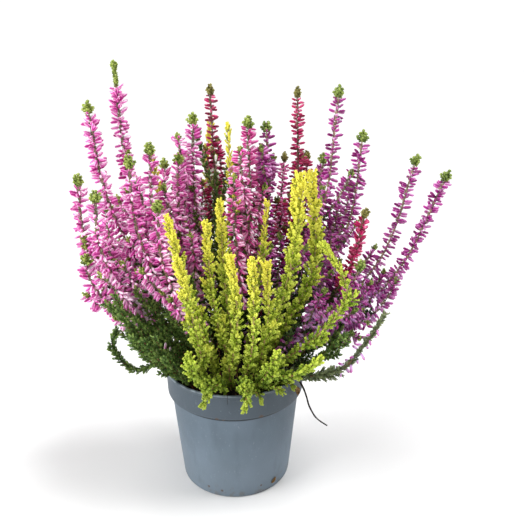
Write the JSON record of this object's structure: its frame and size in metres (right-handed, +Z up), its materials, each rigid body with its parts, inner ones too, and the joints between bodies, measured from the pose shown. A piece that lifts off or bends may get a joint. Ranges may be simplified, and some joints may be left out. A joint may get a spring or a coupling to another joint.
{
  "type": "potted heather",
  "caption": "Bushy heather plants of several flower colours and yellow foliage growing together in one round nursery pot with a tall collar.",
  "frame": {"origin": "centre of the pot's underside, on the surface that the pot stands on", "axes": "+Z up along the pot's axis, front of the plant toward -Y, +X to the right as seen from the front"},
  "size_m": [0.298, 0.1788, 0.358],
  "materials": {
    "pot_plastic": "matte blue-grey moulded plastic",
    "potting_soil": "loose dark peat",
    "pink_heather": "pink buds over green scale leaves",
    "magenta_heather": "magenta buds over green scale leaves",
    "crimson_heather": "crimson buds over green scale leaves",
    "white_heather": "white buds over green scale leaves",
    "purple_heather": "purple buds over green scale leaves",
    "yellow_heather": "yellow to lime scale leaves",
    "green_heather": "dark green scale leaves",
    "root": "dry black root"
  },
  "bodies": {
    "root": {"crimson_heather_01": "crimson_heather", "crimson_heather_02": "crimson_heather", "crimson_heather_03": "crimson_heather", "crimson_heather_04": "crimson_heather", "crimson_heather_05": "crimson_heather", "crimson_heather_06": "crimson_heather", "green_heather_01": "green_heather", "green_heather_02": "green_heather", "green_heather_03": "green_heather", "green_heather_04": "green_heather", "green_loop": "green_heather", "magenta_heather_01": "magenta_heather", "pink_heather_01": "pink_heather", "pink_heather_02": "pink_heather", "pink_heather_03": "pink_heather", "pink_heather_04": "pink_heather", "pink_heather_05": "pink_heather", "pink_heather_06": "pink_heather", "pink_heather_07": "pink_heather", "pink_heather_08": "pink_heather", "pink_heather_09": "pink_heather", "pink_heather_10": "pink_heather", "pink_heather_11": "pink_heather", "pink_heather_12": "pink_heather", "pink_heather_13": "pink_heather", "pot": "pot_plastic", "purple_heather_01": "purple_heather", "purple_heather_02": "purple_heather", "purple_heather_03": "purple_heather", "purple_heather_04": "purple_heather", "purple_heather_05": "purple_heather", "purple_heather_06": "purple_heather", "purple_heather_07": "purple_heather", "purple_heather_08": "purple_heather", "purple_heather_09": "purple_heather", "purple_heather_10": "purple_heather", "purple_low": "purple_heather", "root_over_rim": "root", "soil": "potting_soil", "white_heather_01": "white_heather", "white_heather_02": "white_heather", "white_heather_03": "white_heather", "white_heather_04": "white_heather", "yellow_front": "yellow_heather", "yellow_front_left": "yellow_heather", "yellow_heather_01": "yellow_heather", "yellow_heather_02": "yellow_heather", "yellow_heather_03": "yellow_heather", "yellow_heather_04": "yellow_heather", "yellow_heather_05": "yellow_heather", "yellow_heather_06": "yellow_heather", "yellow_heather_07": "yellow_heather", "yellow_heather_08": "yellow_heather", "yellow_heather_09": "yellow_heather", "yellow_heather_10": "yellow_heather", "yellow_heather_11": "yellow_heather", "yellow_heather_12": "yellow_heather", "yellow_low_left": "yellow_heather", "yellow_low_middle": "yellow_heather", "yellow_low_right": "yellow_heather"}
  },
  "joints": []
}
